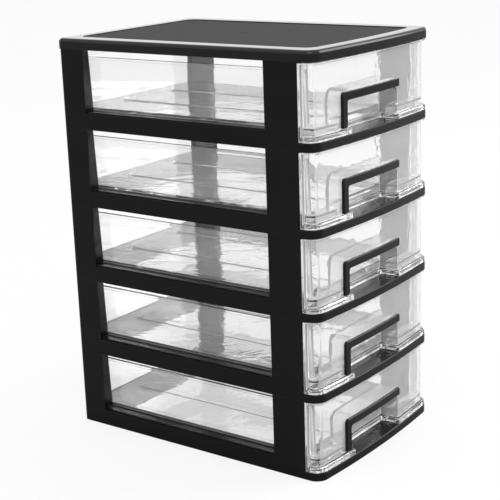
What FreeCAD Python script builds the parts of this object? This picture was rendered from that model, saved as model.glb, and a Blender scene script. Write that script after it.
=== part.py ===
import FreeCAD, Part
import math
import os
import re
import Sketcher

# A desk organizer of five stacked tiers under one cover. Each tier is a dark frame: a low
# base with a bowed front lip, two hollow side rails and four hollow posts. A clear drawer
# with a bowed front, a finger recess and a dark angled handle slides out of each frame.
# Millimetres, Z up. The drawer fronts face -Y. The origin is in the middle of the
# footprint, on the surface that the organizer stands on.

SIZES = [
    ("tier_count", 5, "tiers in the stack"),
    ("tier_width", 190, "frame width over its side walls"),
    ("side_depth", 267, "frame depth along its side walls"),
    ("bow_rise", 4.5, "how far the middle of the front stands before its corners"),
    ("front_corner", 11, "corner radius of the lip"),
    ("rear_corner", 4, "corner radius at the back"),
    ("tier_pitch", 70.5, "height of one tier"),
    ("lip_height", 7.2, "top of the front lip and of the shelf"),
    ("lip_edge", 0.6, "bevel of the lip's upper edge"),
    ("shelf_thickness", 2.3, "plate of the shelf"),
    ("frame_wall", 2.2, "walls of the frame"),
    ("rail_width", 15, "side rail, across"),
    ("rail_height", 14.5, "outer edge of the side rail"),
    ("sill_height", 15.8, "inner top of the side rail, where the drawer slides"),
    ("sill_setback", 1.8, "width of the lower step along the outer edge"),
    ("rear_rail_height", 15.9, "wall between the rear posts"),
    ("front_strip", 36, "shelf strip before the opening, from the front corners"),
    ("rear_strip", 25, "shelf strip behind the opening"),
    ("opening_corner", 6, "corner radius of the shelf opening"),
    ("post_setback", 14.6, "front corners to the front face of the front posts"),
    ("front_post", 31.8, "front post, along the side"),
    ("rear_post", 27.5, "rear post, along the side"),
    ("post_foot", 10.6, "depth of a post at its foot"),
    ("post_head", 8, "depth of a post at its head"),
    ("post_cap", 2.4, "closed top of a hollow post"),
    ("spigot_height", 6, "locating spigot on a post"),
    ("spigot_gap", 0.3, "play of a spigot in its socket"),
    ("spigot_chamfer", 0.8, "lead-in of a spigot"),
    ("cover_height", 9.6, "cover skirt"),
    ("cover_overhang", 0.4, "how far the cover stands out over the frames"),
    ("cover_wall", 2.4, "walls of the cover"),
    ("cover_plate", 2.3, "plate under the sunk panel"),
    ("cover_edge", 3, "rounding of the cover's upper edge"),
    ("panel_depth", 0.9, "sunk panel in the cover"),
    ("panel_side", 14.5, "rim beside the panel"),
    ("panel_front", 12, "rim before the panel"),
    ("panel_rear", 11, "rim behind the panel"),
    ("panel_corner", 10, "corner radius of the panel"),
    ("socket_wall", 1.6, "ring round a spigot under the cover"),
    ("gate_diameter", 7, "gate dimple in the middle of the panel"),
    ("gate_depth", 0.3, "depth of the gate dimple"),
    ("seat_gap", 0.3, "play under and behind a drawer"),
    ("slide_gap", 1.2, "drawer side to the foot of a post"),
    ("rear_gap", 2.2, "drawer back to the rear rail"),
    ("headroom", 0.8, "drawer front to the tier above"),
    ("drawer_wall", 1.8, "sides and back of a drawer"),
    ("drawer_floor", 2, "floor of a drawer"),
    ("side_top", 63.5, "upper edge of the drawer sides, above the foot of its tier"),
    ("side_flare", 1.2, "draft of each drawer side from floor to rim"),
    ("drawer_corner", 6, "rear corner radius of a drawer"),
    ("rim_width", 1, "rim round the drawer sides"),
    ("rim_height", 2.2, "height of the rim"),
    ("plate_thickness", 2, "flange plate that closes on the posts"),
    ("plate_margin", 0.4, "flange plate and bead inside the frame's outline"),
    ("front_inset", 4, "drawer front inside the lip's outline"),
    ("front_wall", 2, "wall of the drawer front"),
    ("bead_height", 4.4, "bead along the bottom of the drawer front"),
    ("bead_edge", 0.9, "bevel of the bead's upper edge"),
    ("flange_reach", 3.4, "how far the top flange stands out"),
    ("flange_height", 1.2, "top flange of the drawer front"),
    ("flange_edge", 0.4, "bevel under the top flange"),
    ("recess_width", 84, "finger recess"),
    ("recess_shift", 4.2, "how far the finger recess and the handle stand left of the middle"),
    ("recess_depth", 18, "front corners to the back of the finger recess"),
    ("recess_top", 35, "upper edge of the finger recess in the drawer front"),
    ("recess_hook", 6.2, "how far the recess rises behind the front, for fingertips"),
    ("recess_corner", 6, "upper corners of the finger recess"),
    ("recess_bend", 5, "rear corners of the bead that goes round the recess"),
    ("recess_wall", 2, "walls of the finger recess"),
    ("nub_size", 2.2, "square nubs on the left wall of the recess"),
    ("nub_height", 0.8, "how far the nubs stand out"),
    ("nub_depth", 12, "front corners to the nubs"),
    ("low_nub", 16.5, "lower edge of the lower nub"),
    ("high_nub", 34.5, "lower edge of the upper nub"),
    ("rib_spacing", 66, "distance between the two floor ribs"),
    ("rib_width", 8, "floor rib"),
    ("rib_height", 0.8, "floor rib"),
    ("rib_rear_gap", 17, "back wall to the rear end of a floor rib"),
    ("stop_length", 2, "raised stop at the rear end of a floor rib"),
    ("stop_height", 1.8, "raised stop at the rear end of a floor rib"),
    ("bar_left", 48.7, "middle of the recess to the left end of the handle"),
    ("bar_right", 41.6, "middle of the recess to the right end of the handle"),
    ("bar_height", 7, "handle bar, which starts at the upper edge of the recess"),
    ("leg_width", 6.9, "handle leg beside the recess"),
    ("leg_bottom", 12.5, "lower end of the handle leg"),
    ("handle_thickness", 2.4, "handle, front to back"),
    ("handle_gap", 0.1, "handle to the drawer front"),
    ("handle_corner", 3, "outer corner of the handle"),
    ("handle_bend", 2.5, "inner corner of the handle"),
    ("handle_tip", 1.2, "corners of the handle's two ends"),
    ("handle_edge", 0.5, "bevel of the handle's front edges"),
    ("peg_diameter", 2.8, "pegs behind the handle"),
    ("peg_clearance", 0.4, "peg hole over the peg"),
    ("peg_length", 3, "pegs behind the handle, from its rear face"),
    ("bar_peg_rise", 4.3, "lower edge of the bar to its peg"),
    ("leg_peg_rise", 6, "lower end of the leg to its peg"),
    ("peg_inset", 2.8, "ends of the handle to its pegs"),
]

doc = FreeCAD.newDocument("drawer_organizer")
sheet = doc.addObject("Spreadsheet::Sheet", "Sizes")
for row, (alias, value, note) in enumerate(SIZES, start=1):
    sheet.set(f"A{row}", note)
    sheet.set(f"B{row}", str(value))
    sheet.setAlias(f"B{row}", alias)
doc.recompute()


# Places that several pieces share, written as formulas of the sizes above

HALF_WIDTH = "tier_width / 2"
REAR = "(side_depth + bow_rise) / 2"
CORNERS = f"({REAR} - side_depth)"
BOW_RADIUS = "((tier_width / 2)^2 + bow_rise^2) / (2 * bow_rise)"
BOW_CENTRE = f"({CORNERS} - bow_rise + {BOW_RADIUS})"
POST_FRONT = f"({CORNERS} + post_setback)"
POST_SPANS = [
    (POST_FRONT, f"{POST_FRONT} + front_post"),
    (f"{REAR} - rear_post", REAR),
]
SILL_EDGE = "(tier_width / 2 - rail_width)"
POST_REACH = "max(post_foot; post_head + side_flare + rim_width)"
DRAWER_HALF = f"(tier_width / 2 - {POST_REACH} - slide_gap)"
DRAWER_REAR = f"({REAR} - frame_wall - rear_gap)"
DRAWER_BASE = "(sill_height + seat_gap)"
FLOOR_TOP = f"({DRAWER_BASE} + drawer_floor)"
PLATE_BACK = f"({POST_FRONT} - seat_gap)"
PLATE_FRONT = f"({PLATE_BACK} - plate_thickness)"
FRONT_BASE = "(lip_height + seat_gap)"
FRONT_TOP = "(tier_pitch - headroom)"
RECESS_BACK = f"({CORNERS} + recess_depth)"
DRAFT = f"atan(side_flare / (side_top - {DRAWER_BASE}))"
HANDLE_LEFT = "(bar_left + recess_shift)"
HANDLE_RIGHT = "(bar_right - recess_shift)"
PEGS = [
    (f"{HANDLE_RIGHT} - peg_inset", "recess_top + bar_peg_rise"),
    (f"-({HANDLE_LEFT} - peg_inset)", "leg_bottom + leg_peg_rise"),
]


def bound(text):
    """The formula with each size name pointed at its cell."""
    names = "|".join(alias for alias, value, note in SIZES)
    return re.sub(rf"\b({names})\b", r"Sizes.\1", text)


def number(text):
    """The formula's present value."""
    return float(sheet.evalExpression(bound(text)))


def bow_radius(inset):
    """Radius of the bowed front line, moved in by inset."""
    return f"({BOW_RADIUS} - ({inset}))"


def bow_line(inset, across):
    """Depth of that line at a distance across from the middle."""
    return f"({BOW_CENTRE} - sqrt({bow_radius(inset)}^2 - ({across})^2))"


# Bodies, sketches and features

def new_body(label, level):
    """An empty body that stands at the foot of the given tier, counted from zero."""
    body = doc.addObject("PartDesign::Body", label)
    body.Label = label
    body.setExpression("Placement.Base.z", bound(f"tier_pitch * {level}"))
    return body


def sketch_on(body, name, offset="0", role="XY_Plane"):
    """A sketch parallel to one of the body's planes. The XZ plane looks along -Y."""
    sketch = body.newObject("Sketcher::SketchObject", name)
    plane = next(feature for feature in body.Origin.OriginFeatures if feature.Role == role)
    sketch.AttachmentSupport = [(plane, "")]
    sketch.MapMode = "FlatFace"
    sketch.setExpression("AttachmentOffset.Base.z", bound(offset))
    return sketch


def pin_one(sketch, kind, geometry, end, text):
    """Hold one coordinate of a point at its formula."""
    value = number(text)
    if abs(value) < 1e-9:
        axis = -2 if kind == "DistanceX" else -1
        sketch.addConstraint(Sketcher.Constraint("PointOnObject", geometry, end, axis))
        return
    if value > 0:
        rule = Sketcher.Constraint(kind, -1, 1, geometry, end, value)
    else:
        rule = Sketcher.Constraint(kind, geometry, end, -1, 1, -value)
        text = f"-({text})"
    index = sketch.addConstraint(rule)
    sketch.setExpression(f"Constraints[{index}]", bound(text))


def pin(sketch, geometry, end, x, y):
    pin_one(sketch, "DistanceX", geometry, end, x)
    pin_one(sketch, "DistanceY", geometry, end, y)


def outline(sketch, corners, arcs=None):
    """A closed outline. arcs gives the radius of each curved side by its number: a positive
    radius bulges to the right of the way round, a negative one to the left."""
    arcs = arcs or {}
    points = [FreeCAD.Vector(number(x), number(y), 0) for x, y in corners]
    sides = []
    for side, start in enumerate(points):
        end = points[(side + 1) % len(points)]
        if side not in arcs:
            geometry = sketch.addGeometry(Part.LineSegment(start, end))
            sides.append((geometry, 1, 2))
            continue
        radius = number(arcs[side])
        first, second = (start, end) if radius > 0 else (end, start)
        along = second - first
        left = FreeCAD.Vector(-along.y, along.x, 0) / along.Length
        height = math.sqrt(radius ** 2 - (along.Length / 2) ** 2)
        centre = (first + second) / 2 + left * height
        turn_first = math.atan2(first.y - centre.y, first.x - centre.x)
        turn_second = math.atan2(second.y - centre.y, second.x - centre.x)
        if turn_second < turn_first:
            turn_second += 2 * math.pi
        circle = Part.Circle(centre, FreeCAD.Vector(0, 0, 1), abs(radius))
        geometry = sketch.addGeometry(Part.ArcOfCircle(circle, turn_first, turn_second))
        sides.append((geometry, 1, 2) if radius > 0 else (geometry, 2, 1))
    for side, (geometry, start, end) in enumerate(sides):
        after, after_start, after_end = sides[(side + 1) % len(sides)]
        sketch.addConstraint(Sketcher.Constraint("Coincident", geometry, end, after, after_start))
        pin(sketch, geometry, start, *corners[side])
        if side in arcs:
            radius = number(arcs[side])
            rule = Sketcher.Constraint("Radius", geometry, abs(radius))
            sign = "" if radius > 0 else "-"
            index = sketch.addConstraint(rule)
            sketch.setExpression(f"Constraints[{index}]", bound(f"{sign}({arcs[side]})"))


def rectangle(sketch, x_low, x_high, y_low, y_high):
    corners = [(x_low, y_low), (x_high, y_low), (x_high, y_high), (x_low, y_high)]
    outline(sketch, corners)


def rounded_rectangle(sketch, x_low, x_high, y_low, y_high, radius, low_radius=None):
    """A rectangle with round corners. Where low_radius is "0" the low corners stay square."""
    if low_radius == "0":
        corners = [
            (x_low, y_low),
            (x_high, y_low),
            (x_high, f"{y_high} - {radius}"),
            (f"{x_high} - {radius}", y_high),
            (f"{x_low} + {radius}", y_high),
            (x_low, f"{y_high} - {radius}"),
        ]
        outline(sketch, corners, {2: radius, 4: radius})
        return
    corners = [
        (f"{x_low} + {radius}", y_low),
        (f"{x_high} - {radius}", y_low),
        (x_high, f"{y_low} + {radius}"),
        (x_high, f"{y_high} - {radius}"),
        (f"{x_high} - {radius}", y_high),
        (f"{x_low} + {radius}", y_high),
        (x_low, f"{y_high} - {radius}"),
        (x_low, f"{y_low} + {radius}"),
    ]
    outline(sketch, corners, {1: radius, 3: radius, 5: radius, 7: radius})


def circle(sketch, x, y, diameter):
    centre = FreeCAD.Vector(number(x), number(y), 0)
    geometry = sketch.addGeometry(Part.Circle(centre, FreeCAD.Vector(0, 0, 1), number(diameter) / 2))
    pin(sketch, geometry, 3, x, y)
    index = sketch.addConstraint(Sketcher.Constraint("Diameter", geometry, number(diameter)))
    sketch.setExpression(f"Constraints[{index}]", bound(diameter))


def bowed_outline(sketch, half, inset, corner, back, tail=()):
    """The plan of a front that follows the bow, moved in by inset, with round front corners.
    Its straight sides stand at half and end at back, and tail adds points behind the right one."""
    centre = bow_line(f"{inset} + {corner}", f"{half} - ({corner})")
    stretch = f"{bow_radius(inset)} / {bow_radius(f'{inset} + {corner}')}"
    across = f"({half} - ({corner})) * {stretch}"
    depth = f"{BOW_CENTRE} - ({BOW_CENTRE} - {centre}) * {stretch}"
    corners = [(f"-({across})", depth), (across, depth), (half, centre), (half, back)]
    corners += list(tail)
    corners += [(f"-{half}", back), (f"-{half}", centre)]
    outline(sketch, corners, {0: bow_radius(inset), 1: corner, len(corners) - 1: corner})


def lip_outline(sketch, inset, back, tail=()):
    """The plan of the lip, moved in by inset all round."""
    half = f"(tier_width / 2 - ({inset}))"
    bowed_outline(sketch, half, inset, f"(front_corner - ({inset}))", back, tail)


def outside(point, inset):
    """True where a point stands outside the plan of the lip, moved in by inset."""
    corner_x = number(f"{HALF_WIDTH} - front_corner")
    corner_y = number(bow_line("front_corner", f"{HALF_WIDTH} - front_corner"))
    if abs(point.x) > corner_x and point.y < corner_y:
        return math.hypot(abs(point.x) - corner_x, point.y - corner_y) > number("front_corner") - inset
    ahead = math.hypot(point.x, point.y - number(BOW_CENTRE)) > number(BOW_RADIUS) - inset
    return abs(point.x) > number(HALF_WIDTH) - inset or ahead


def pad(body, sketch, length, taper=None):
    feature = body.newObject("PartDesign::Pad", sketch.Name + "_pad")
    feature.Profile = sketch
    feature.setExpression("Length", bound(length))
    if taper:
        feature.setExpression("TaperAngle", bound(taper))
    doc.recompute()
    return feature


def pocket(body, sketch, length, taper=None, against=False):
    """A cut along the sketch's own direction, or against it."""
    before = body.Shape.Volume
    feature = body.newObject("PartDesign::Pocket", sketch.Name + "_pocket")
    feature.Profile = sketch
    feature.Reversed = not against
    feature.setExpression("Length", bound(length))
    if taper:
        feature.setExpression("TaperAngle", bound(taper))
    doc.recompute()
    if not feature.Shape.Volume < before - 1e-3:
        raise RuntimeError(f"{feature.Name} of {body.Label} cuts nothing")
    return feature


def upright_edges(feature, places, low="-1", high="1000"):
    """Names of the edges that run upwards at the given places, between two heights."""
    spots = [(number(x), number(y)) for x, y in places]
    found = []
    for index, edge in enumerate(feature.Shape.Edges, start=1):
        ends = [vertex.Point for vertex in edge.Vertexes]
        if len(ends) < 2 or abs(ends[0].z - ends[1].z) < 0.1:
            continue
        if min(end.z for end in ends) < number(low) or max(end.z for end in ends) > number(high):
            continue
        for x, y in spots:
            if all(math.hypot(end.x - x, end.y - y) < 0.02 for end in ends):
                found.append(f"Edge{index}")
    return found


def leaning_edges(feature, places, high):
    """Names of the drafted corner edges that start at the given places and end below high."""
    spots = [(number(x), number(y)) for x, y in places]
    found = []
    for index, edge in enumerate(feature.Shape.Edges, start=1):
        ends = sorted((vertex.Point for vertex in edge.Vertexes), key=lambda point: point.z)
        if len(ends) < 2 or ends[1].z - ends[0].z < 1 or ends[1].z > number(high) + 0.01:
            continue
        if any(math.hypot(ends[0].x - x, ends[0].y - y) < 0.02 for x, y in spots):
            found.append(f"Edge{index}")
    return found


def edges_where(feature, test):
    """Names of the edges whose every tenth point passes the test."""
    found = []
    for index, edge in enumerate(feature.Shape.Edges, start=1):
        if all(test(point) for point in edge.discretize(10)):
            found.append(f"Edge{index}")
    return found


def finish_edges(body, kind, feature, edges, size, name):
    """Round or bevel edges: kind is Fillet or Chamfer."""
    if not edges:
        raise RuntimeError(f"{name} of {body.Label} finds no edge")
    dressed = body.newObject(f"PartDesign::{kind}", name)
    dressed.Base = (feature, edges)
    dressed.setExpression("Radius" if kind == "Fillet" else "Size", bound(size))
    doc.recompute()
    return dressed


# Tier frame

def tier_frame(level):
    body = new_body(f"tier_frame_{level + 1}", level)

    # the base with its bowed lip
    base = sketch_on(body, "base")
    lip_outline(base, "0", REAR)
    pad(body, base, "lip_height")

    # side rails with a lower step outside, and the wall between the rear posts
    rails = sketch_on(body, "rails")
    sills = sketch_on(body, "sills")
    for side in (1, -1):
        inner = f"{side} * {SILL_EDGE}"
        rectangle(rails, inner, f"{side} * {HALF_WIDTH}", POST_FRONT, REAR)
        rectangle(sills, inner, f"{side} * ({HALF_WIDTH} - sill_setback)", POST_FRONT, REAR)
    pad(body, rails, "rail_height")
    pad(body, sills, "sill_height")
    rear_rail = sketch_on(body, "rear_rail")
    rectangle(rear_rail, f"-{SILL_EDGE}", SILL_EDGE, f"{REAR} - frame_wall", REAR)
    pad(body, rear_rail, "rear_rail_height")

    # posts
    posts = sketch_on(body, "posts")
    for side in (1, -1):
        foot = f"{side} * ({HALF_WIDTH} - post_foot)"
        for start, end in POST_SPANS:
            rectangle(posts, foot, f"{side} * {HALF_WIDTH}", start, end)
    solid = pad(body, posts, "tier_pitch")

    # corners
    rear = [(HALF_WIDTH, REAR), (f"-{HALF_WIDTH}", REAR)]
    edges = upright_edges(solid, rear)
    solid = finish_edges(body, "Fillet", solid, edges, "rear_corner", "rear_corners")
    edges = edges_where(solid, on_lip_edge)
    finish_edges(body, "Chamfer", solid, edges, "lip_edge", "lip_edges")

    # the posts lean inwards: a wedge comes off their inner faces above the rail
    wedge = sketch_on(body, "wedge", role="XZ_Plane", offset=f"-({REAR} + 1)")
    for side in (1, -1):
        foot = f"{side} * ({HALF_WIDTH} - post_foot)"
        head = f"{side} * ({HALF_WIDTH} - post_head)"
        outline(wedge, [(foot, "sill_height"), (head, "tier_pitch"), (foot, "tier_pitch")])
    pocket(body, wedge, "side_depth + 2")

    # shelf opening
    opening = sketch_on(body, "opening")
    front_edge = f"{CORNERS} + front_strip"
    rear_edge = f"{REAR} - rear_strip"
    rounded_rectangle(opening, f"-{SILL_EDGE}", SILL_EDGE, front_edge, rear_edge, "opening_corner")
    pocket(body, opening, "lip_height + 1")

    # the underside: hollow lip and rear strip, then rails, then posts
    hollow = sketch_on(body, "hollow")
    rib = f"{front_edge} - frame_wall"
    tail = [
        (SILL_EDGE, POST_FRONT),
        (SILL_EDGE, rib),
        (f"-{SILL_EDGE}", rib),
        (f"-{SILL_EDGE}", POST_FRONT),
    ]
    lip_outline(hollow, "frame_wall", POST_FRONT, tail)
    rectangle(hollow, f"-{SILL_EDGE}", SILL_EDGE, f"{rear_edge} + frame_wall", f"{REAR} - frame_wall")
    pocket(body, hollow, "lip_height - shelf_thickness")

    rail_hollow = sketch_on(body, "rail_hollow")
    window = (POST_SPANS[0][1], POST_SPANS[1][0])
    feet = [(f"{start} + frame_wall", f"{end} - frame_wall") for start, end in POST_SPANS]
    for side in (1, -1):
        for start, end in feet + [window]:
            inner = f"{side} * ({SILL_EDGE} + frame_wall)"
            outer = f"{side} * ({HALF_WIDTH} - frame_wall)"
            rectangle(rail_hollow, inner, outer, start, end)
    pocket(body, rail_hollow, "sill_height - frame_wall")

    post_hollow = sketch_on(body, "post_hollow")
    for side in (1, -1):
        for start, end in feet:
            inner = f"{side} * ({HALF_WIDTH} - post_head + frame_wall)"
            outer = f"{side} * ({HALF_WIDTH} - frame_wall)"
            rectangle(post_hollow, inner, outer, start, end)
    pocket(body, post_hollow, "tier_pitch - post_cap")

    # spigots that locate the next tier
    spigots = sketch_on(body, "spigots", "tier_pitch")
    for side in (1, -1):
        for start, end in feet:
            inner = f"{side} * ({HALF_WIDTH} - post_head + frame_wall)"
            outer = f"{side} * ({HALF_WIDTH} - frame_wall - spigot_gap)"
            rectangle(spigots, inner, outer, f"{start} + spigot_gap", f"{end} - spigot_gap")
    solid = pad(body, spigots, "spigot_height")
    top = number("tier_pitch + spigot_height")
    edges = edges_where(solid, lambda point: abs(point.z - top) < 1e-4)
    finish_edges(body, "Chamfer", solid, edges, "spigot_chamfer", "spigot_lead")
    return body


def on_lip_edge(point):
    """True on the upper outer edge of the lip, before the posts."""
    if abs(point.z - number("lip_height")) > 1e-4 or point.y > number(POST_FRONT) + 1e-4:
        return False
    return point.y < number(POST_FRONT) - 1e-4 or abs(point.x) > number(HALF_WIDTH) - 1e-4


# Top cover

def top_cover(level):
    body = new_body("top_cover", level)
    skirt = sketch_on(body, "skirt")
    lip_outline(skirt, "-cover_overhang", f"{REAR} + cover_overhang")
    solid = pad(body, skirt, "cover_height")
    half = f"({HALF_WIDTH} + cover_overhang)"
    rear = [(half, f"{REAR} + cover_overhang"), (f"-{half}", f"{REAR} + cover_overhang")]
    edges = upright_edges(solid, rear)
    solid = finish_edges(body, "Fillet", solid, edges, "rear_corner + cover_overhang", "rear_corners")
    top = number("cover_height")
    edges = edges_where(solid, lambda point: abs(point.z - top) < 1e-4)
    finish_edges(body, "Fillet", solid, edges, "cover_edge", "upper_edge")

    # underside, with a ring for each spigot
    inside = sketch_on(body, "inside")
    inset = "(cover_wall - cover_overhang)"
    lip_outline(inside, inset, f"{REAR} - {inset}")
    depth = "cover_height - panel_depth - cover_plate"
    pocket(body, inside, depth)
    rings = sketch_on(body, "rings")
    sockets = sketch_on(body, "sockets")
    for side in (1, -1):
        inner = f"{side} * ({HALF_WIDTH} - post_head + frame_wall - spigot_gap)"
        outer = f"{side} * ({HALF_WIDTH} - frame_wall)"
        wall = f"{side} * socket_wall"
        for start, end in POST_SPANS:
            low = f"{start} + frame_wall"
            high = f"{end} - frame_wall"
            rectangle(sockets, inner, outer, low, high)
            low += " - socket_wall"
            high += " + socket_wall"
            rectangle(rings, f"{inner} - {wall}", f"{outer} + {wall}", low, high)
    pad(body, rings, f"{depth} + cover_plate / 2")
    pocket(body, sockets, depth)

    # sunk panel and the gate dimple in its middle
    panel = sketch_on(body, "panel", "cover_height - panel_depth")
    side_line = f"({HALF_WIDTH} - panel_side)"
    rear_line = f"({REAR} - panel_rear)"
    bowed_outline(panel, side_line, "panel_front", "panel_corner", rear_line)
    solid = pocket(body, panel, "panel_depth + 1")
    rear = [(side_line, rear_line), (f"-{side_line}", rear_line)]
    edges = upright_edges(solid, rear, low="cover_height / 2")
    finish_edges(body, "Fillet", solid, edges, "panel_corner", "panel_corners")
    gate = sketch_on(body, "gate", "cover_height - panel_depth - gate_depth")
    circle(gate, "0", "0", "gate_diameter")
    pocket(body, gate, "gate_depth + 1")
    return body


# Clear drawer

def drawer(level):
    body = new_body(f"drawer_{level + 1}", level)

    # the tray, a little wider at its rim
    tray = sketch_on(body, "tray", DRAWER_BASE)
    rectangle(tray, f"-{DRAWER_HALF}", DRAWER_HALF, PLATE_BACK, DRAWER_REAR)
    pad(body, tray, f"side_top - {DRAWER_BASE}", DRAFT)
    rim = sketch_on(body, "rim", "side_top - rim_height")
    reach = "(side_flare + rim_width)"
    rim_half = f"({DRAWER_HALF} + {reach})"
    rim_rear = f"({DRAWER_REAR} + {reach})"
    rectangle(rim, f"-{rim_half}", rim_half, PLATE_BACK, rim_rear)
    pad(body, rim, "rim_height")

    # the bowed front with its bead, top flange and the plate that closes on the posts
    front = sketch_on(body, "front", FRONT_BASE)
    lip_outline(front, "front_inset", PLATE_BACK)
    pad(body, front, f"{FRONT_TOP} - {FRONT_BASE}")
    plate = sketch_on(body, "plate", FRONT_BASE)
    plate_half = f"({HALF_WIDTH} - plate_margin)"
    rectangle(plate, f"-{plate_half}", plate_half, PLATE_FRONT, PLATE_BACK)
    pad(body, plate, f"{FRONT_TOP} - {FRONT_BASE}")
    bead = sketch_on(body, "bead", FRONT_BASE)
    lip_outline(bead, "plate_margin", PLATE_BACK)
    pad(body, bead, "bead_height")
    flange = sketch_on(body, "flange", f"{FRONT_TOP} - flange_height")
    lip_outline(flange, "(front_inset - flange_reach)", PLATE_BACK)
    solid = pad(body, flange, "flange_height")
    bead_top = f"({FRONT_BASE} + bead_height)"
    edges = edges_where(solid, lambda point: on_front_edge(point, number(bead_top)))
    solid = finish_edges(body, "Chamfer", solid, edges, "bead_edge", "bead_edges")
    flange_foot = number(f"{FRONT_TOP} - flange_height")
    edges = edges_where(solid, lambda point: on_front_edge(point, flange_foot))
    solid = finish_edges(body, "Chamfer", solid, edges, "flange_edge", "flange_edges")
    rear = [(DRAWER_HALF, DRAWER_REAR), (f"-{DRAWER_HALF}", DRAWER_REAR)]
    edges = leaning_edges(solid, rear, "side_top - rim_height")
    solid = finish_edges(body, "Fillet", solid, edges, "drawer_corner", "rear_corners")
    edges = upright_edges(solid, [(rim_half, rim_rear), (f"-{rim_half}", rim_rear)])
    finish_edges(body, "Fillet", solid, edges, "drawer_corner + rim_width", "rim_corners")

    # the inside of the tray and of the front, and the hollow under the front
    inside = sketch_on(body, "inside", FLOOR_TOP)
    inner_half = f"({DRAWER_HALF} - drawer_wall)"
    inner_rear = f"{DRAWER_REAR} - drawer_wall"
    rectangle(inside, f"-{inner_half}", inner_half, f"{PLATE_FRONT} - drawer_wall", inner_rear)
    solid = pocket(body, inside, f"{FRONT_TOP} - {FLOOR_TOP} + 1", DRAFT)
    rear = [(inner_half, inner_rear), (f"-{inner_half}", inner_rear)]
    edges = leaning_edges(solid, rear, "side_top")
    finish_edges(body, "Fillet", solid, edges, "drawer_corner - drawer_wall", "inside_corners")
    front_inside = sketch_on(body, "front_inside", FLOOR_TOP)
    lip_outline(front_inside, "(front_inset + front_wall)", PLATE_FRONT)
    pocket(body, front_inside, f"{FRONT_TOP} - {FLOOR_TOP} + 1")
    under = sketch_on(body, "under", FRONT_BASE)
    lip_outline(under, "(front_inset + front_wall)", PLATE_FRONT)
    pocket(body, under, f"{DRAWER_BASE} - {FRONT_BASE}")

    # finger recess: a block with round upper corners, cut out from the front and below. Behind
    # the front it rises further, so that fingertips can hook over
    recess = sketch_on(body, "recess", role="XZ_Plane", offset=f"-({RECESS_BACK} + recess_wall)")
    outer_left = "(recess_shift + recess_width / 2 + recess_wall)"
    outer_right = "(recess_width / 2 + recess_wall - recess_shift)"
    ceiling = "(recess_top + recess_hook)"
    outer_corner = "(recess_corner + recess_wall)"
    corners = (f"-{outer_left}", outer_right, FRONT_BASE, f"({ceiling} + recess_wall)")
    rounded_rectangle(recess, *corners, outer_corner, "0")
    front_face = bow_line("(front_inset + front_wall / 2)", outer_left)
    pad(body, recess, f"{RECESS_BACK} + recess_wall - {front_face}")
    bay_left = "(recess_shift + recess_width / 2)"
    bay_right = "(recess_width / 2 - recess_shift)"
    hook = sketch_on(body, "hook", role="XZ_Plane", offset=f"-{RECESS_BACK}")
    rounded_rectangle(hook, f"-{bay_left}", bay_right, bead_top, ceiling, "recess_corner", "0")
    behind_front = bow_line("(front_inset + front_wall)", outer_left)
    pocket(body, hook, f"{RECESS_BACK} - {behind_front}")
    bay = sketch_on(body, "bay", role="XZ_Plane", offset=f"-{RECESS_BACK}")
    rounded_rectangle(bay, f"-{bay_left}", bay_right, bead_top, "recess_top", "recess_corner", "0")
    pocket(body, bay, "recess_depth + bow_rise")
    mouth = sketch_on(body, "mouth", FRONT_BASE)
    bead_reach = "(front_inset - plate_margin)"
    low = f"({CORNERS} - bow_rise)"
    high = f"({RECESS_BACK} - {bead_reach})"
    mouth_left = f"-({bay_left} - {bead_reach})"
    mouth_right = f"({bay_right} - {bead_reach})"
    rounded_rectangle(mouth, mouth_left, mouth_right, low, high, "recess_bend", "0")
    pocket(body, mouth, "bead_height + 1")
    nubs = sketch_on(body, "nubs", role="YZ_Plane", offset=f"-({outer_left} + nub_height)")
    start = f"{CORNERS} + nub_depth"
    for foot in ("low_nub", "high_nub"):
        rectangle(nubs, start, f"{start} + nub_size", foot, f"{foot} + nub_size")
    pad(body, nubs, "nub_height + recess_wall / 2")

    # peg holes for the handle
    behind = bow_line("front_inset + front_wall", HANDLE_LEFT)
    holes = sketch_on(body, "holes", role="XZ_Plane", offset=f"-({behind} + 1)")
    for x, z in PEGS:
        circle(holes, x, z, "peg_diameter + peg_clearance")
    pocket(body, holes, "front_wall + bow_rise + 1")

    # two floor ribs, each with a raised stop at its rear end
    ribs = sketch_on(body, "ribs", FLOOR_TOP)
    stops = sketch_on(body, "stops", FLOOR_TOP)
    start = f"{RECESS_BACK} + recess_wall / 2"
    end = f"({inner_rear} - rib_rear_gap)"
    for side in (1, -1):
        left = f"{side} * rib_spacing / 2 - rib_width / 2"
        right = f"{side} * rib_spacing / 2 + rib_width / 2"
        rectangle(ribs, left, right, start, end)
        rectangle(stops, left, right, f"{end} - stop_length", end)
    pad(body, ribs, "rib_height")
    pad(body, stops, "stop_height")
    return body


def on_front_edge(point, height):
    """True on the outer edge of the bead or the top flange at the given height."""
    if abs(point.z - height) > 1e-4 or point.y > number(PLATE_FRONT) + 1e-4:
        return False
    return outside(point, number("front_inset") / 2)


# Handle

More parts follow.
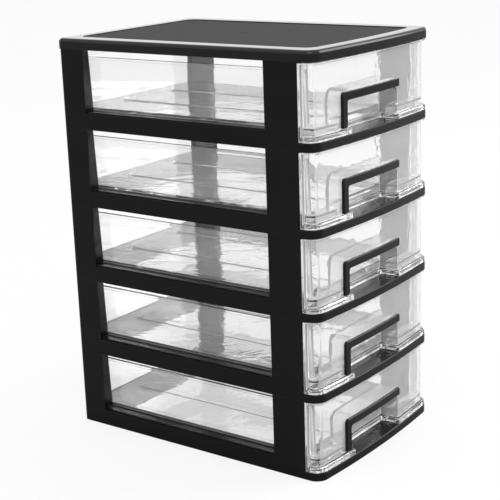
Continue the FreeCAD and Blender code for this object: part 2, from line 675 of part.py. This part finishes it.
def handle(level):
    body = new_body(f"handle_{level + 1}", level)
    face = "(front_inset - handle_gap)"
    front = "(front_inset - handle_gap - handle_thickness)"
    back_reach = bow_line("front_inset", HANDLE_LEFT)

    # the angled outline, cut to follow the bow in front and behind
    angle = sketch_on(body, "angle", role="XZ_Plane", offset=f"-{back_reach}")
    top = "recess_top + bar_height"
    inner = f"(leg_width - {HANDLE_LEFT})"
    corners = [
        (f"handle_tip - {HANDLE_LEFT}", "leg_bottom"),
        (f"{inner} - handle_tip", "leg_bottom"),
        (inner, "leg_bottom + handle_tip"),
        (inner, "recess_top - handle_bend"),
        (f"{inner} + handle_bend", "recess_top"),
        (f"{HANDLE_RIGHT} - handle_tip", "recess_top"),
        (HANDLE_RIGHT, "recess_top + handle_tip"),
        (HANDLE_RIGHT, f"{top} - handle_tip"),
        (f"{HANDLE_RIGHT} - handle_tip", top),
        (f"handle_corner - {HANDLE_LEFT}", top),
        (f"-{HANDLE_LEFT}", f"{top} - handle_corner"),
        (f"-{HANDLE_LEFT}", "leg_bottom + handle_tip"),
    ]
    tip = "handle_tip"
    arcs = {1: tip, 3: "-handle_bend", 5: tip, 7: tip, 9: "handle_corner", 11: tip}
    outline(angle, corners, arcs)
    pad(body, angle, "bow_rise + handle_thickness + handle_gap")
    ahead = sketch_on(body, "ahead")
    half = f"({HANDLE_LEFT} + 1)"
    far = f"{CORNERS} - bow_rise - handle_thickness"
    near = f"{CORNERS} + bow_rise + 1"
    line = bow_line(front, half)
    corners = [(f"-{half}", far), (half, far), (half, line), (f"-{half}", line)]
    outline(ahead, corners, {2: f"-{bow_radius(front)}"})
    pocket(body, ahead, "tier_pitch")
    behind = sketch_on(body, "behind")
    line = bow_line(face, half)
    corners = [(f"-{half}", line), (half, line), (half, near), (f"-{half}", near)]
    outline(behind, corners, {0: bow_radius(face)})
    solid = pocket(body, behind, "tier_pitch")
    centre = number(BOW_CENTRE)
    radius = number(bow_radius(front))
    edges = edges_where(solid, lambda point: math.hypot(point.x, point.y - centre) > radius - 1e-3)
    finish_edges(body, "Chamfer", solid, edges, "handle_edge", "front_edges")

    # pegs through the drawer front
    pegs = sketch_on(body, "pegs", role="XZ_Plane", offset=f"-({back_reach} + peg_length)")
    for x, z in PEGS:
        circle(pegs, x, z, "peg_diameter")
    pad(body, pegs, "peg_length + handle_thickness / 2")
    return body


# Build, check and write

bodies = []
levels = int(number("tier_count"))
for level in range(levels):
    bodies.append(tier_frame(level))
    bodies.append(drawer(level))
    bodies.append(handle(level))
bodies.append(top_cover(levels))
doc.recompute()

for item in doc.Objects:
    if "Invalid" in item.State or "Error" in item.State:
        raise RuntimeError(f"{item.Label} failed: {item.State}")
for body in bodies:
    if body.Shape.isNull() or not body.Shape.isValid():
        raise RuntimeError(f"{body.Label} has no valid shape")

os.makedirs("parts", exist_ok=True)
for body in bodies:
    body.Shape.exportStep(os.path.join("parts", f"{body.Label}.step"))
    print(body.Label, len(body.Shape.Solids), round(body.Shape.Volume))
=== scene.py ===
import bpy
import math
from mathutils import Matrix, Vector

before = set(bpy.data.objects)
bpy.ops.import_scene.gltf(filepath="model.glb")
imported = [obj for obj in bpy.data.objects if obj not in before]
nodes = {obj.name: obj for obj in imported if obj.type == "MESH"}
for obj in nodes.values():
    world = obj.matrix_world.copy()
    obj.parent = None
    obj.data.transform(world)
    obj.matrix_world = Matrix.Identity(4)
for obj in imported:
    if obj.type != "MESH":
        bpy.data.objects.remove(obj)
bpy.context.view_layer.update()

# Desk organizer of five clear drawers in a stack of dark frames under one cover.
# Metres, Z up, drawer fronts face -Y. Every piece below is a moulding that the
# CAD frame already has in its true shape, so this file gives each its finish.

scene = bpy.context.scene


# Camera. The photograph was taken from the front left, a little above the cover,
# from about 1.2 m. The place was solved from the edges of the cover, the windows
# and the lips, with no shift, so that other views stay centred.

camera_data = bpy.data.cameras.new("camera")
camera_data.sensor_width = 36
camera_data.lens = 92.59
camera = bpy.data.objects.new("camera", camera_data)
scene.collection.objects.link(camera)
eye = Matrix.Translation((-0.9238, -0.6716, 0.4807))
azimuth, elevation, roll = (math.radians(angle) for angle in (-53.867, 15.554, -1.936))
aim = Matrix.Rotation(azimuth, 4, "Z") @ Matrix.Rotation(math.pi / 2 - elevation, 4, "X")
camera.matrix_world = eye @ aim @ Matrix.Rotation(roll, 4, "Z")
scene.camera = camera


# Black frames. Five injection-moulded polypropylene tiers, each one piece with its
# lip, shelf, rails and posts. The steel tool leaves a satin skin with a very fine
# spark grain, and the outer faces bow by a few hundredths where the plastic shrank.

TIERS = range(1, 6)
POLYPROPYLENE_IOR = 1.49
FRAME_EDGE = 0.0005  # radius that the tool leaves on every edge
FRAME_SINK = 0.0004  # depth of the sink marks before their strength
FRAME_GRAIN = 0.0001  # depth of the grain before its strength


def colour(hex_code):
    """An sRGB colour such as "#1c1c1e" in the linear numbers that shaders take."""
    channels = [int(hex_code[i:i + 2], 16) / 255 for i in (1, 3, 5)]
    return [c / 12.92 if c <= 0.04045 else ((c + 0.055) / 1.055) ** 2.4 for c in channels] + [1]


def add(tree, kind, settings=None, links=None):
    """A new node. settings are its properties and inputs, links the outputs that feed it."""
    node = tree.nodes.new(kind)
    for name, value in (settings or {}).items():
        if isinstance(name, str) and hasattr(node, name):
            setattr(node, name, value)
        else:
            node.inputs[name].default_value = value
    for name, output in (links or {}).items():
        tree.links.new(output, node.inputs[name])
    return node


def new_material(name):
    """An empty node material, its tree and its output node."""
    material = bpy.data.materials.new(name)
    material.use_nodes = True
    tree = material.node_tree
    tree.nodes.clear()
    return material, tree, tree.nodes.new("ShaderNodeOutputMaterial")


def dress(node_name, material):
    """Gives a CAD piece its material."""
    piece = nodes[node_name]
    piece.data.materials.clear()
    piece.data.materials.append(material)


frame_black, tree, output = new_material("moulded_polypropylene_black")
place = add(tree, "ShaderNodeTexCoord").outputs["Object"]
# spark grain, about 0.9 mm where the real one is 0.1 mm, so that it shows at all
grain = add(tree, "ShaderNodeTexNoise", {"Scale": 1100, "Detail": 2}, {"Vector": place})
# sink and flow marks, some 40 mm across, that also change the shade and the gloss
flow = add(tree, "ShaderNodeTexNoise", {"Scale": 25, "Detail": 3}, {"Vector": place})
shade = add(tree, "ShaderNodeMix", {"data_type": "RGBA"}, {"Factor": flow.outputs["Fac"]})
shade.inputs["A"].default_value = colour("#090909")
shade.inputs["B"].default_value = colour("#0f0f10")
gloss = add(
    tree, "ShaderNodeMapRange", {"From Min": 0.3, "From Max": 0.7, "To Min": 0.14, "To Max": 0.22},
    {"Value": flow.outputs["Fac"]},
)
round_edges = add(tree, "ShaderNodeBevel", {"samples": 4, "Radius": FRAME_EDGE})
sunk = add(
    tree, "ShaderNodeBump", {"Strength": 0.25, "Distance": FRAME_SINK},
    {"Height": flow.outputs["Fac"], "Normal": round_edges.outputs[0]},
)
skin = add(
    tree, "ShaderNodeBump", {"Strength": 0.06, "Distance": FRAME_GRAIN},
    {"Height": grain.outputs["Fac"], "Normal": sunk.outputs[0]},
)
plastic = add(
    tree, "ShaderNodeBsdfPrincipled", {"IOR": POLYPROPYLENE_IOR, "Specular IOR Level": 0.25},
    {
        "Base Color": shade.outputs["Result"],
        "Roughness": gloss.outputs["Result"],
        "Normal": skin.outputs[0],
    },
)
tree.links.new(plastic.outputs[0], output.inputs["Surface"])
for tier in TIERS:
    dress(f"tier_frame_{tier}", frame_black)


# Cover. A moulding of the same black plastic with a polished rim and a sunk panel
# with a fine matte leather-like spark texture, which hides marks where things are
# put down on it.

PANEL_LEVEL = 0.3612  # the rim's top lies 0.9 mm higher, the gate dimple lower
COVER_IOR = 1.54  # a little over polypropylene's, for the polish
RIM_ROUGHNESS, PANEL_ROUGHNESS = 0.16, 0.85
COVER_EDGE = 0.0006
COVER_SINK = 0.0004
COVER_GRAIN = 0.0002

cover_black, tree, output = new_material("moulded_polypropylene_cover")
place = add(tree, "ShaderNodeTexCoord").outputs["Object"]
height = add(tree, "ShaderNodeSeparateXYZ", None, {"Vector": place}).outputs["Z"]
# the panel is what faces up between these two heights
under_rim = add(
    tree, "ShaderNodeMath", {"operation": "LESS_THAN", 1: PANEL_LEVEL + 0.0002}, {0: height}
)
over_plate = add(
    tree, "ShaderNodeMath", {"operation": "GREATER_THAN", 1: PANEL_LEVEL - 0.0005}, {0: height}
)
facing = add(tree, "ShaderNodeNewGeometry").outputs["Normal"]
upright = add(tree, "ShaderNodeSeparateXYZ", None, {"Vector": facing}).outputs["Z"]
level = add(tree, "ShaderNodeMath", {"operation": "GREATER_THAN", 1: 0.9}, {0: upright})
between = add(
    tree, "ShaderNodeMath", {"operation": "MULTIPLY"},
    {0: under_rim.outputs[0], 1: over_plate.outputs[0]},
)
on_panel = add(
    tree, "ShaderNodeMath", {"operation": "MULTIPLY"}, {0: between.outputs[0], 1: level.outputs[0]}
)
# texture of the panel, drawn about as coarse as the frames' grain for the same reason
grain = add(tree, "ShaderNodeTexNoise", {"Scale": 1300, "Detail": 3}, {"Vector": place})
# sink marks, some 55 mm across
flow = add(tree, "ShaderNodeTexNoise", {"Scale": 18, "Detail": 3}, {"Vector": place})
rough = add(
    tree, "ShaderNodeMapRange", {"To Min": RIM_ROUGHNESS, "To Max": PANEL_ROUGHNESS},
    {"Value": on_panel.outputs[0]},
)
shade = add(tree, "ShaderNodeMix", {"data_type": "RGBA"}, {"Factor": on_panel.outputs[0]})
shade.inputs["A"].default_value = colour("#101011")
shade.inputs["B"].default_value = colour("#303032")
round_edges = add(tree, "ShaderNodeBevel", {"samples": 4, "Radius": COVER_EDGE})
sunk = add(
    tree, "ShaderNodeBump", {"Strength": 0.2, "Distance": COVER_SINK},
    {"Height": flow.outputs["Fac"], "Normal": round_edges.outputs[0]},
)
texture = add(
    tree, "ShaderNodeBump", {"Distance": COVER_GRAIN},
    {"Strength": on_panel.outputs[0], "Height": grain.outputs["Fac"], "Normal": sunk.outputs[0]},
)
# the rim's top is polished brightest, which a clear coat stands for
rim_top = add(
    tree, "ShaderNodeMath", {"operation": "SUBTRACT"}, {0: level.outputs[0], 1: on_panel.outputs[0]}
)
plastic = add(
    tree, "ShaderNodeBsdfPrincipled",
    {"IOR": COVER_IOR, "Specular IOR Level": 0.35, "Coat Roughness": 0.05},
    {
        "Coat Weight": rim_top.outputs[0],
        "Base Color": shade.outputs["Result"],
        "Roughness": rough.outputs["Result"],
        "Normal": texture.outputs[0],
    },
)
tree.links.new(plastic.outputs[0], output.inputs["Surface"])
dress("top_cover", cover_black)


# Handles. Angled brackets of the same black polypropylene, fixed to the drawer
# fronts by their pegs. Their grain is rubbed by fingers, so they shine a little more.

handle_black = frame_black.copy()
handle_black.name = "moulded_polypropylene_handle"
handle_black.node_tree.nodes["Principled BSDF"].inputs["Specular IOR Level"].default_value = 0.3
for tier in TIERS:
    dress(f"handle_{tier}", handle_black)


# Clear drawers. Crystal polystyrene, injection moulded in polished tools, so it is
# colourless and bright with a trace of haze. The melt front leaves slow waves that bend
# what stands behind the bowed front. The edges are painted white as a highlight that
# stands in for the light which real clear edges reflect and bend.

POLYSTYRENE_IOR = 1.59
TIER_PITCH = 0.0705
BEAD_TOP = 0.0122  # above the underside of the tier
BEAD_SHARE = 0.2  # part of the waves and scuffs that the bead has
FRONT_END = -0.118  # the bowed front lies before it, the side walls behind it
WAVE_DEPTH = 0.0012
FRONT_WAVES, WALL_WAVES, BOTTOM_WAVES = 0.85, 0.2, 0.7
FRONT_SCUFFS, SIDE_SCUFFS, BOTTOM_SCUFFS = 0.32, 0.1, 0.05
LEAST_HAZE = 0.01
# painted highlight on the drawers' edges: its width, and how clear it leaves the plastic
HIGHLIGHT_EDGE_WIDTH = 0.0009
FRONT_EDGE_HIGHLIGHTS, OTHER_EDGE_HIGHLIGHTS = 0.1, 0.6  # how clear an edge is left at its brightest

drawer_clear, tree, output = new_material("crystal_polystyrene_clear")
place = add(tree, "ShaderNodeTexCoord").outputs["Object"]
where = add(tree, "ShaderNodeSeparateXYZ", None, {"Vector": place})
surface = add(tree, "ShaderNodeNewGeometry")
# the bead along the lower edge is smoother and less scuffed, because the lip guards it
in_tier = add(
    tree, "ShaderNodeMath", {"operation": "MODULO", 1: TIER_PITCH}, {0: where.outputs["Z"]}
)
guard = add(
    tree, "ShaderNodeMapRange",
    {"From Min": BEAD_TOP - 0.0001, "From Max": BEAD_TOP + 0.0001, "To Min": BEAD_SHARE},
    {"Value": in_tier.outputs[0]},
)
# flow waves, some 30 mm apart and drawn out upwards, strongest in the bowed front and
# next in the bottom of the tray
stretch = add(tree, "ShaderNodeMapping", {"Scale": (1, 1, 0.7)}, {"Vector": place})
waves = add(
    tree, "ShaderNodeTexNoise", {"Scale": 30, "Detail": 2.5, "Distortion": 0.5},
    {"Vector": stretch.outputs[0]},
)
up = add(tree, "ShaderNodeSeparateXYZ", None, {"Vector": surface.outputs["Normal"]}).outputs["Z"]
bottom = add(tree, "ShaderNodeMath", {"operation": "GREATER_THAN", 1: 0.9}, {0: up})
wall_waves = add(
    tree, "ShaderNodeMapRange",
    {
        "From Min": FRONT_END, "From Max": FRONT_END + 0.01,
        "To Min": FRONT_WAVES, "To Max": WALL_WAVES,
    },
    {"Value": where.outputs["Y"]},
)
guarded_waves = add(
    tree, "ShaderNodeMath", {"operation": "MULTIPLY"},
    {0: wall_waves.outputs[0], 1: guard.outputs[0]},
)
bottom_waves = add(
    tree, "ShaderNodeMath", {"operation": "MULTIPLY", 1: BOTTOM_WAVES}, {0: bottom.outputs[0]}
)
wave_strength = add(
    tree, "ShaderNodeMath", {"operation": "MAXIMUM"},
    {0: guarded_waves.outputs[0], 1: bottom_waves.outputs[0]},
)
wavy = add(
    tree, "ShaderNodeBump", {"Distance": WAVE_DEPTH},
    {"Strength": wave_strength.outputs[0], "Height": waves.outputs["Fac"]},
)
# fine scuffs from handling on the outer faces, where position times normal is large, on
# the cheeks of the finger recess, 40 mm either side of the middle, and on the tray's bottom
outward = add(
    tree, "ShaderNodeVectorMath", {"operation": "MULTIPLY"},
    {0: place, 1: surface.outputs["Normal"]},
)
outward = add(tree, "ShaderNodeSeparateXYZ", None, {"Vector": outward.outputs[0]})
side = add(
    tree, "ShaderNodeMath", {"operation": "GREATER_THAN", 1: 0.07}, {0: outward.outputs["X"]}
)
side_scuffs = add(
    tree, "ShaderNodeMath", {"operation": "MULTIPLY", 1: SIDE_SCUFFS}, {0: side.outputs[0]}
)
front = add(
    tree, "ShaderNodeMath", {"operation": "GREATER_THAN", 1: 0.105}, {0: outward.outputs["Y"]}
)
cheeks = add(
    tree, "ShaderNodeMath", {"operation": "COMPARE", 1: -0.04, 2: 0.012}, {0: outward.outputs["X"]}
)
handled = add(
    tree, "ShaderNodeMath", {"operation": "MAXIMUM"}, {0: front.outputs[0], 1: cheeks.outputs[0]}
)
front_scuffs = add(
    tree, "ShaderNodeMath", {"operation": "MULTIPLY", 1: FRONT_SCUFFS}, {0: handled.outputs[0]}
)
bottom_scuffs = add(
    tree, "ShaderNodeMath", {"operation": "MULTIPLY", 1: BOTTOM_SCUFFS}, {0: bottom.outputs[0]}
)
scuffs = add(
    tree, "ShaderNodeMath", {"operation": "MAXIMUM"},
    {0: side_scuffs.outputs[0], 1: front_scuffs.outputs[0]},
)
scuffs = add(
    tree, "ShaderNodeMath", {"operation": "MAXIMUM"},
    {0: scuffs.outputs[0], 1: bottom_scuffs.outputs[0]},
)
# they show from outside only, so that light is scattered once on its way through a wall
outside = add(
    tree, "ShaderNodeMath", {"operation": "SUBTRACT", 0: 1.0}, {1: surface.outputs["Backfacing"]}
)
scuffs = add(
    tree, "ShaderNodeMath", {"operation": "MULTIPLY"}, {0: scuffs.outputs[0], 1: outside.outputs[0]}
)
scuffs = add(
    tree, "ShaderNodeMath", {"operation": "MULTIPLY"}, {0: scuffs.outputs[0], 1: guard.outputs[0]}
)
unscuffed = add(
    tree, "ShaderNodeMath", {"operation": "SUBTRACT", 0: 1 - LEAST_HAZE}, {1: scuffs.outputs[0]}
)
# painted highlight: the edges are left less clear, so that their white diffuse share shows
# as the bright lines that real edges reflect and bend, most of all round the front; an edge
# is found where the rounded normal turns away from the face's own
round_edges = add(tree, "ShaderNodeBevel", {"samples": 8, "Radius": HIGHLIGHT_EDGE_WIDTH})
turn = add(
    tree, "ShaderNodeVectorMath", {"operation": "DOT_PRODUCT"},
    {0: surface.outputs["Normal"], 1: round_edges.outputs[0]},
)
edge_highlight_clearness = add(
    tree, "ShaderNodeMapRange",
    {
        "From Min": FRONT_END + 0.007, "From Max": FRONT_END + 0.014,
        "To Min": FRONT_EDGE_HIGHLIGHTS, "To Max": OTHER_EDGE_HIGHLIGHTS,
    },
    {"Value": where.outputs["Y"]},
)
edge = add(
    tree, "ShaderNodeMapRange", {"From Min": 0.8, "From Max": 0.99},
    {"Value": turn.outputs["Value"], "To Min": edge_highlight_clearness.outputs[0]},
)
# clearness left after the haze and the painted edge highlight
clearness = add(
    tree, "ShaderNodeMath", {"operation": "MULTIPLY"}, {0: unscuffed.outputs[0], 1: edge.outputs[0]}
)
glass = add(
    tree, "ShaderNodeBsdfPrincipled",
    {"Base Color": colour("#ffffff"), "Roughness": 0.03, "IOR": POLYSTYRENE_IOR},
    {"Transmission Weight": clearness.outputs[0], "Normal": wavy.outputs[0]},
)
# lamps shine through each face with a small loss, where a refracting face would block them
lamp_side = add(tree, "ShaderNodeBsdfTransparent", {"Color": colour("#f6f6f6")})
path = add(tree, "ShaderNodeLightPath")
through = add(
    tree, "ShaderNodeMixShader", None,
    {0: path.outputs["Is Shadow Ray"], 1: glass.outputs[0], 2: lamp_side.outputs[0]},
)
tree.links.new(through.outputs[0], output.inputs["Surface"])
for tier in TIERS:
    dress(f"drawer_{tier}", drawer_clear)


# Studio. A seamless white sweep under softboxes. Floor and surroundings are white where
# the camera sees them, straight or through clear plastic. To all other rays the floor is
# matte grey and the surroundings a little darker, which keeps the light plain.

FLOOR_REACH = 8.0
FLOOR_GAP = 0.0002  # keeps the floor off the frames' undersides
PAPER_GLOW = 0.8  # share of plain white in the floor, the rest shows the shadow
AMBIENT = 0.95
WHITE = (1, 1, 1, 1)

floor_mesh = bpy.data.meshes.new("floor")
floor_mesh.from_pydata(
    [(FLOOR_REACH * x, FLOOR_REACH * y, 0) for x, y in ((-1, -1), (1, -1), (1, 1), (-1, 1))],
    [], [(0, 1, 2, 3)],
)
floor = bpy.data.objects.new("floor", floor_mesh)
floor.location.z = -FLOOR_GAP
scene.collection.objects.link(floor)
floor_white, tree, output = new_material("floor_white")
matte = add(tree, "ShaderNodeBsdfDiffuse", {"Color": colour("#a8a8a8")})
paper = add(tree, "ShaderNodeBsdfDiffuse", {"Color": colour("#f0f0f0")})
white = add(tree, "ShaderNodeEmission", {"Color": WHITE, "Strength": 1})
backdrop = add(
    tree, "ShaderNodeMixShader", {0: PAPER_GLOW}, {1: paper.outputs[0], 2: white.outputs[0]}
)
path = add(tree, "ShaderNodeLightPath")
seen = add(
    tree, "ShaderNodeMath", {"operation": "MAXIMUM"},
    {0: path.outputs["Is Camera Ray"], 1: path.outputs["Is Transmission Ray"]},
)
pale = add(
    tree, "ShaderNodeMixShader", None,
    {0: seen.outputs[0], 1: matte.outputs[0], 2: backdrop.outputs[0]},
)
tree.links.new(pale.outputs[0], output.inputs["Surface"])
floor_mesh.materials.append(floor_white)

world = bpy.data.worlds.new("studio")
scene.world = world
world.use_nodes = True
tree = world.node_tree
tree.nodes.clear()
path = add(tree, "ShaderNodeLightPath")
seen = add(
    tree, "ShaderNodeMath", {"operation": "MAXIMUM"},
    {0: path.outputs["Is Camera Ray"], 1: path.outputs["Is Transmission Ray"]},
)
ambient = add(tree, "ShaderNodeBackground", {"Color": WHITE, "Strength": AMBIENT})
backdrop = add(tree, "ShaderNodeBackground", {"Color": WHITE, "Strength": 1})
sky = add(
    tree, "ShaderNodeMixShader", None,
    {0: seen.outputs[0], 1: ambient.outputs[0], 2: backdrop.outputs[0]},
)
add(tree, "ShaderNodeOutputWorld", None, {"Surface": sky.outputs[0]})

for name, stand, target, size, watts in (
    ("key_softbox", (-1.1, -1.0, 1.5), (0, 0, 0.15), 1.0, 9),
    ("fill_softbox", (1.3, -1.1, 0.9), (0, 0, 0.15), 1.0, 12),
    ("top_softbox", (0.1, 0.3, 1.8), (0, 0, 0.2), 1.2, 1),
):
    lamp = bpy.data.lights.new(name, "AREA")
    lamp.shape = "SQUARE"
    lamp.size = size
    lamp.energy = watts
    softbox = bpy.data.objects.new(name, lamp)
    scene.collection.objects.link(softbox)
    softbox.location = stand
    # lamps shine along their own -Z
    softbox.rotation_euler = (Vector(stand) - Vector(target)).to_track_quat("Z", "Y").to_euler()

scene.view_settings.view_transform = "Standard"
# light crosses up to a dozen walls of clear plastic on its way through the stack
scene.cycles.max_bounces = 24
scene.cycles.transmission_bounces = 24
scene.cycles.transparent_max_bounces = 32
